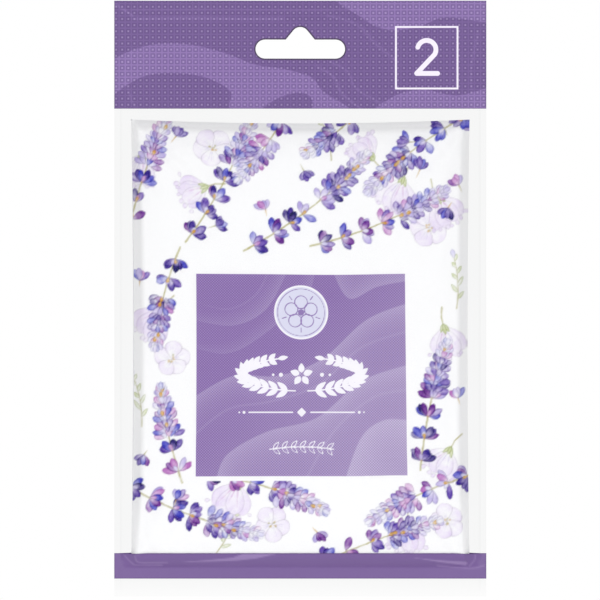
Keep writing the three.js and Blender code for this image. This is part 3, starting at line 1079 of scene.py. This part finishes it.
def header_wave(places):
    """A slight waviness of both header films, which dies out at the fold."""
    x, z = places.T
    wave = 0.16 * np.sin(x / 15 + 0.6) + 0.1 * np.sin(x / 6.3 + z / 9 + 2.0)
    wave = wave + 0.07 * np.sin(z / 4.7 - x / 21)
    return wave * smoothstep(HEADER_FOLD, HEADER_FOLD + 12, z)


def bag_film(name, plan, faces, grid, facing, materials):
    """One film from the header's top to the tail's fold. facing is -1 for the front and 1 for the back."""
    x, z = plan.T
    own = plan * (-facing, 1)  # as the film's own side shows it
    joined = smoothstep(TAIL_FOLD, TAIL_FOLD + FOLD_LEAD, z)
    depth = film_depth(grid, own) + FILM_OFFSET * joined
    # The printed line over the seal draws up where the pouch is puffed, so it lies lower beside the sachet
    near_line = np.maximum(0, 1 - np.abs(z - BAND_TOP) / BAND_DIP_REACH)
    lowered = z - BAND_DIP * near_line * smoothstep(54, 61, np.abs(x))
    points = np.stack([x, facing * depth + header_wave(plan), lowered], 1)
    middles = plan[faces].mean(1)[:, 1]
    kinds = np.where(middles > HEADER_FOLD, 0, np.where(middles > BAND_TOP, 1, 2))
    turned = faces if facing < 0 else faces[:, ::-1]
    piece = mesh_object(name, points, turned.tolist(), materials, kinds)
    set_flat(piece, plan)
    by_mark = (np.abs(plan - MARK_MIDDLE) < MARK_HALF + 2).all(1) & (facing < 0)
    by_slot = (np.abs(plan - (0, -6)) < (24, 14)).all(1)
    in_header, in_band = z >= HEADER_FOLD, z <= BAND_TOP
    # Header: printed marbling threads and painted crease highlights. Band: painted crease highlights.
    marbling_and_gloss = near_values(own, in_header, 0, header_marbling_and_gloss)
    marbling_and_gloss[in_band] = band_gloss(own[in_band])
    set_numbers(piece, "ink", near_values(plan, by_mark, FAR, mark_ornament))
    set_numbers(piece, "field", near_values(own, in_header, FAR, header_fields))
    set_numbers(piece, "marbling_and_gloss", marbling_and_gloss)
    set_numbers(piece, "slot_edge", near_values(plan, by_slot, FAR, slot_distance))
    set_bake_map(piece, plan)
    return piece


def tail_film(name, facing, material):
    """The free end of one film below the bottom seal."""
    across = steps_between(-BAG_HALF, BAG_HALF, 2.0)
    down = steps_between(TAIL_END, TAIL_FOLD - FOLD_ROOM, 0.8)
    x, z = np.meshgrid(across, down)
    drop = (TAIL_FOLD - z) / (TAIL_FOLD - TAIL_END)
    wave = 0.1 * drop * np.sin(x / 9 + 1.0)
    offset = FILM_OFFSET * smoothstep(FOLD_ROOM, FOLD_LEAD, TAIL_FOLD - z) + 0.12 * drop**2
    points = np.stack([x, facing * offset + wave, z], -1).reshape(-1, 3)
    quads = grid_faces(*x.shape)[1]
    turned = quads if facing < 0 else quads[:, ::-1]
    piece = mesh_object(name, points, turned.tolist(), [material])
    set_flat(piece, points[:, [0, 2]])
    set_bake_map(piece, points[:, [0, 2]])
    return piece


# Materials


class Graph:
    """The node tree of a material or of the world, written as nested calls."""

    def __init__(self, owner):
        self.owner = owner
        owner.use_nodes = True
        self.tree = owner.node_tree
        self.tree.nodes.clear()

    def feed(self, socket, value):
        if isinstance(value, bpy.types.NodeSocket):
            self.tree.links.new(value, socket)
        else:
            socket.default_value = value

    def node(self, kind, inputs=None, **settings):
        made = self.tree.nodes.new(kind)
        for key, value in settings.items():
            setattr(made, key, value)
        for key, value in (inputs or {}).items():
            self.feed(made.inputs[key], value)
        return made

    def attribute(self, name, output):
        return self.node("ShaderNodeAttribute", attribute_name=name).outputs[output]

    def math(self, operation, *values):
        return self.node("ShaderNodeMath", dict(enumerate(values)), operation=operation).outputs[0]

    def length(self, operation, *values):
        made = self.node("ShaderNodeVectorMath", dict(enumerate(values)), operation=operation)
        return made.outputs["Value"]

    def axes(self, vector):
        return self.node("ShaderNodeSeparateXYZ", {0: vector}).outputs[:2]

    def step(self, low, high, value):
        """0 below low, 1 above high and smooth between them. low may be above high."""
        ends = {"Value": value, "From Min": low, "From Max": high}
        return self.node("ShaderNodeMapRange", ends, interpolation_type="SMOOTHSTEP").outputs[0]

    def mix(self, share, first, second, blend="MIX"):
        inputs = {0: share, 6: first, 7: second}
        return self.node("ShaderNodeMix", inputs, data_type="RGBA", blend_type=blend).outputs[2]

    def blend_shaders(self, share, first, second):
        return self.node("ShaderNodeMixShader", {0: share, 1: first, 2: second}).outputs[0]

    def seen(self):
        """1 on rays that the camera sees directly, in a mirror or through clear film."""
        path = self.node("ShaderNodeLightPath").outputs
        seen = self.math("MAXIMUM", path["Is Camera Ray"], path["Is Glossy Ray"])
        return self.math("MAXIMUM", seen, path["Is Transmission Ray"])

    def noise(self, vector, scale, detail=2.0, roughness=0.5):
        inputs = {"Vector": vector, "Scale": scale, "Detail": detail, "Roughness": roughness}
        return self.node("ShaderNodeTexNoise", inputs).outputs["Fac"]

    def bump(self, height, strength, distance):
        inputs = {"Height": height, "Strength": strength, "Distance": distance}
        return self.node("ShaderNodeBump", inputs).outputs[0]

    def principled(self, **values):
        inputs = {key.replace("_", " "): value for key, value in values.items()}
        return self.node("ShaderNodeBsdfPrincipled", inputs).outputs[0]

    def surface(self, shader, kind="ShaderNodeOutputMaterial"):
        self.node(kind, {"Surface": shader})
        return self.owner


def material_graph(name):
    return Graph(bpy.data.materials.new(name))


def srgb(red, green, blue):
    return (*linear(np.array([red, green, blue]) / 255), 1.0)


def paper_material():
    """White paper with the flower print and the marbled panel on it."""
    graph = material_graph("sachet_print")
    flat = graph.attribute("flat", "Vector")
    x, z = graph.axes(flat)
    paint = graph.attribute("print", "Color")
    fibre = graph.noise(flat, 1.6, 4.0, 0.6)
    shade = graph.step(0.2, 0.8, fibre)
    paper = graph.mix(shade, (0.965, 0.965, 0.97, 1), (1, 1, 1, 1))
    colour = graph.mix(1.0, paint, paper, "MULTIPLY")

    # The panel, lighter towards its lower right corner
    beyond = []
    for value, middle, half in zip((x, z), PANEL_MIDDLE, PANEL_HALF):
        away = graph.math("ABSOLUTE", graph.math("SUBTRACT", value, middle))
        beyond.append(graph.math("SUBTRACT", away, half))
    panel = graph.step(0.08, -0.08, graph.math("MAXIMUM", *beyond))
    slope = graph.math("SUBTRACT", graph.math("MULTIPLY", x, 0.0038), graph.math("MULTIPLY", z, 0.0038))
    light = graph.math("ADD", graph.math("ADD", graph.attribute("marbling_and_gloss", "Fac"), slope), 0.02)
    violet = graph.mix(light, srgb(146, 119, 178), srgb(212, 203, 227))
    dots = graph.math("MULTIPLY", wave_line(graph, x, 0.96), wave_line(graph, z, 0.96))
    dots = graph.math("MULTIPLY_ADD", dots, 0.5, 0.5)
    weave = graph.mix(dots, (0.6, 0.56, 0.65, 1), (1.4, 1.44, 1.35, 1))
    violet = graph.mix(1.0, violet, weave, "MULTIPLY")
    ring = graph.length("DISTANCE", flat, (*MEDAL_MIDDLE, 0))
    medal = graph.step(MEDAL_RADIUS + 0.1, MEDAL_RADIUS - 0.1, ring)
    medal_edge = graph.step(MEDAL_RADIUS - 0.75, MEDAL_RADIUS - 0.55, ring)
    pale = graph.mix(medal_edge, srgb(222, 222, 240), srgb(248, 247, 252))
    drawn = graph.step(0.1, -0.1, graph.attribute("violet", "Fac"))
    pale = graph.mix(drawn, pale, srgb(150, 126, 184))
    violet = graph.mix(medal, violet, pale)
    white = graph.step(0.1, -0.1, graph.attribute("ink", "Fac"))
    violet = graph.mix(white, violet, srgb(247, 245, 251))
    colour = graph.mix(panel, colour, violet)
    normal = graph.bump(graph.noise(flat, 2.4, 3.0, 0.6), 0.12, 0.00008)
    shader = graph.principled(Base_Color=colour, Roughness=0.62, Specular_IOR_Level=0.3, Normal=normal)
    return graph.surface(shader)


def rim_line(graph, x, z, top, bottom):
    """1 along the edges of a printed field, where the ink ends in a darker line."""
    from_side = graph.math("SUBTRACT", BAG_HALF, graph.math("ABSOLUTE", x))
    from_top = graph.math("SUBTRACT", top, z)
    from_bottom = graph.math("SUBTRACT", z, bottom)
    nearest = graph.math("MINIMUM", from_side, graph.math("MINIMUM", from_top, from_bottom))
    return graph.step(0.55, 0.15, nearest)


def wave_line(graph, value, pitch):
    return graph.math("SINE", graph.math("MULTIPLY", value, 2 * math.pi / pitch))


def plain_paper_material():
    """The unprinted paper of the sachets' backs."""
    graph = material_graph("sachet_back_paper")
    flat = graph.attribute("flat", "Vector")
    fibre = graph.step(0.2, 0.8, graph.noise(flat, 1.4, 4.0, 0.6))
    colour = graph.mix(fibre, srgb(241, 241, 244), srgb(250, 250, 252))
    normal = graph.bump(graph.noise(flat, 2.4, 3.0, 0.6), 0.15, 0.00008)
    shader = graph.principled(Base_Color=colour, Roughness=0.7, Specular_IOR_Level=0.25, Normal=normal)
    return graph.surface(shader)


def header_material():
    """Purple reverse print under glossy film: marbling, a grid of small squares and the count mark, with
    painted highlights along the film's creases and a painted shade line round the slot.
    """
    graph = material_graph("header_print")
    flat = graph.attribute("flat", "Vector")
    x, z = graph.axes(flat)
    field = graph.math("MULTIPLY", graph.step(0.25, -0.25, graph.attribute("field", "Fac")), 0.9)
    # Lighter where the printed marbling fields lie, and along painted highlights on the film's creases.
    light = graph.math("ADD", field, graph.attribute("marbling_and_gloss", "Fac"))
    colour = graph.mix(light, srgb(113, 86, 146), srgb(141, 114, 175))
    cells = []
    for value, start in ((x, 0.573), (z, 0.194)):
        place = graph.math("FRACT", graph.math("MULTIPLY_ADD", value, 1 / DOT_PITCH, start))
        cells.append(graph.math("ABSOLUTE", graph.math("SUBTRACT", place, 0.5)))
    cell = graph.math("MAXIMUM", *cells)
    square = graph.math("MULTIPLY", graph.step(0.15, 0.22, cell), graph.step(0.42, 0.34, cell))
    dot = graph.step(0.17, 0.09, cell)
    colour = graph.mix(graph.math("MULTIPLY", square, 0.46), colour, srgb(70, 46, 106))
    colour = graph.mix(graph.math("MULTIPLY", dot, 0.3), colour, srgb(196, 178, 216))
    white = graph.step(0.1, -0.1, graph.attribute("ink", "Fac"))
    colour = graph.mix(white, colour, srgb(243, 236, 250))
    rim = rim_line(graph, x, z, HEADER_TOP, HEADER_FOLD)
    colour = graph.mix(graph.math("MULTIPLY", rim, 0.5), colour, srgb(84, 62, 112))
    # Painted shade: a dark line round the slot stands in for the shade on the film's cut edge.
    cut = graph.step(0.6, 0.4, graph.attribute("slot_edge", "Fac"))
    colour = graph.mix(graph.math("MULTIPLY", cut, 0.85), colour, srgb(52, 38, 66))
    normal = graph.bump(graph.noise(flat, 0.05, 1.0, 0.4), 0.05, 0.0004)
    shader = graph.principled(Base_Color=colour, Roughness=0.28, Specular_IOR_Level=0.3, Normal=normal)
    return graph.surface(shader)


def band_material():
    """The plain purple band over the bottom seal, with painted highlights along the film's creases."""
    graph = material_graph("band_print")
    flat = graph.attribute("flat", "Vector")
    x, z = graph.axes(flat)
    cloud = graph.noise(flat, 0.05, 2.0, 0.5)
    colour = graph.mix(cloud, srgb(114, 88, 145), srgb(118, 92, 149))
    # Painted highlights along the film's creases, in a lighter purple.
    colour = graph.mix(graph.attribute("marbling_and_gloss", "Fac"), colour, srgb(150, 126, 177))
    rim = rim_line(graph, x, z, BAND_TOP, TAIL_FOLD)
    colour = graph.mix(graph.math("MULTIPLY", rim, 0.5), colour, srgb(88, 66, 118))
    shader = graph.principled(Base_Color=colour, Roughness=0.26, Specular_IOR_Level=0.3)
    return graph.surface(shader)


def clear_material():
    """Clear glossy film, a little less clear in the crimped side seals."""
    graph = material_graph("clear_film")
    flat = graph.attribute("flat", "Vector")
    x, z = graph.axes(flat)
    sealed = graph.step(BAG_HALF - SIDE_SEAL - 0.15, BAG_HALF - SIDE_SEAL + 0.15, graph.math("ABSOLUTE", x))
    inner = graph.step(1.3, 0.2, graph.math("SUBTRACT", BAG_HALF - SIDE_SEAL, graph.math("ABSOLUTE", x)))
    through = graph.mix(inner, (0.962, 0.963, 0.963, 1), (0.952, 0.953, 0.953, 1))
    through = graph.mix(sealed, through, (0.963, 0.964, 0.964, 1))
    through = graph.mix(graph.step(TAIL_FOLD + 2, TAIL_END - 1, z), through, (0.987, 0.987, 0.987, 1))
    ribs = graph.math("MULTIPLY", wave_line(graph, z, 0.9), sealed)
    normal = graph.bump(ribs, 0.3, 0.00005)
    clear = graph.node("ShaderNodeBsdfTransparent", {"Color": through}).outputs[0]
    pale = (0.9, 0.9, 0.9, 1)
    gloss = graph.principled(Base_Color=pale, Roughness=0.1, Specular_IOR_Level=0.5, Normal=normal)
    share = graph.node("ShaderNodeLayerWeight", {"Blend": 0.12}).outputs["Fresnel"]
    return graph.surface(graph.blend_shaders(share, clear, gloss))


def granule_material():
    """Scented granules: small tan flakes."""
    graph = material_graph("granules")
    place = graph.node("ShaderNodeTexCoord").outputs["Object"]
    flakes = graph.node("ShaderNodeTexVoronoi", {"Vector": place, "Scale": 700.0})
    tone = graph.axes(flakes.outputs["Color"])[0]
    colour = graph.mix(tone, srgb(150, 118, 70), srgb(222, 198, 148))
    normal = graph.bump(flakes.outputs["Distance"], 0.8, 0.0006)
    shader = graph.principled(Base_Color=colour, Roughness=0.8, Specular_IOR_Level=0.3, Normal=normal)
    return graph.surface(shader)


def floor_material():
    """A pale floor that fades into the white surroundings."""
    graph = material_graph("floor")
    place = graph.node("ShaderNodeTexCoord").outputs["Object"]
    away = graph.length("LENGTH", place)
    fade = graph.math("MULTIPLY", graph.step(0.14, 0.33, away), graph.seen())
    speckle = graph.noise(place, 60.0, 2.0)
    colour = graph.mix(speckle, (0.86, 0.86, 0.86, 1), (0.9, 0.9, 0.9, 1))
    glow = {"Emission_Color": colour, "Emission_Strength": 0.25}
    matte = graph.principled(Base_Color=colour, Roughness=0.9, Specular_IOR_Level=0.1, **glow)
    white = graph.node("ShaderNodeEmission", {"Color": (1, 1, 1, 1), "Strength": 1.0}).outputs[0]
    return graph.surface(graph.blend_shaders(fade, matte, white))


# Studio

WORLD_LIGHT = 0.55
FRAME_WIDTH = 214.5  # of the picture, at the pack
FLOOR_DROP = 150.0
FLOOR_RADIUS = 350.0


def set_world():
    """White where it is seen or mirrored, and a softer white as light."""
    graph = Graph(bpy.data.worlds.new("studio"))
    ends = {"Value": graph.seen(), "To Min": WORLD_LIGHT, "To Max": 1.0}
    strength = graph.node("ShaderNodeMapRange", ends).outputs[0]
    back = graph.node("ShaderNodeBackground", {"Color": (1, 1, 1, 1), "Strength": strength}).outputs[0]
    bpy.context.scene.world = graph.surface(back, "ShaderNodeOutputWorld")


def add_lamp(name, place, target, size, power):
    lamp = bpy.data.lights.new(name, "AREA")
    lamp.shape = "RECTANGLE"
    lamp.size, lamp.size_y = size
    lamp.energy = power
    piece = bpy.data.objects.new(name, lamp)
    piece.location = Vector(place) * MM
    piece.rotation_euler = (Vector(target) - Vector(place)).to_track_quat("-Z", "Y").to_euler()
    piece.visible_camera = False
    bpy.context.scene.collection.objects.link(piece)


def add_camera():
    """Square on to the front, from far away, with the photograph's frame."""
    lens = bpy.data.cameras.new("camera")
    lens.lens, lens.sensor_width = 200.0, 36.0
    piece = bpy.data.objects.new("camera", lens)
    distance = FRAME_WIDTH * lens.lens / lens.sensor_width
    piece.location = np.array((-0.1, -distance, -97.6)) * MM
    piece.rotation_euler = (math.pi / 2, 0, 0)
    lens.clip_end = 20.0
    bpy.context.scene.collection.objects.link(piece)
    bpy.context.scene.camera = piece


def add_floor():
    ring = np.pad(arc((0, 0), FLOOR_RADIUS, 0, 355, 72), ((0, 0), (0, 1)))
    floor = mesh_object("floor", ring, [list(range(len(ring)))], [floor_material()])
    floor.location.z = (TAIL_END - FLOOR_DROP) * MM


bpy.context.scene.view_settings.view_transform = "Standard"
add_camera()
set_world()
for side in (-1, 1):
    add_lamp("front", (420 * side, -1000, -50), (0, 0, -97), (0.8, 1.2), 3.85)
    add_lamp("back", (700 * side, 1000, -150), (0, 0, -97), (1.2, 1.2), 5.0)
add_floor()

paint = painted_sheet()
print_paper = paper_material()
back_paper = plain_paper_material()
films = [header_material(), clear_material(), band_material()]

moved = settled_paper()
front_sachet, form = sachet("front_sachet", FRONT_STEP, -1, moved, paint, [print_paper, back_paper])
rear_sachet, _ = sachet("rear_sachet", REAR_STEP, 1, moved, paint, [print_paper, back_paper])
for name, piece in (("front_sachet", front_sachet), ("rear_sachet", rear_sachet)):
    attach(piece, name)
    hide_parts(f"{name}_front_sheet", f"{name}_back_sheet")
    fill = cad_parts[f"{name}_granule_fill"]
    fill.data.materials.clear()
    fill.data.materials.append(granule_material())

plan, faces = film_plan()
grid = membrane(form)
for side, facing in (("front", -1), ("back", 1)):
    film = bag_film(f"{side}_film", plan, faces, grid, facing, films)
    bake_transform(film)
    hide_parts(f"header_{side}_film", f"pouch_{side}_film")
    tail = tail_film(f"{side}_tail", facing, films[1])
    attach(tail, "tail")
    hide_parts(f"tail_{side}_film")
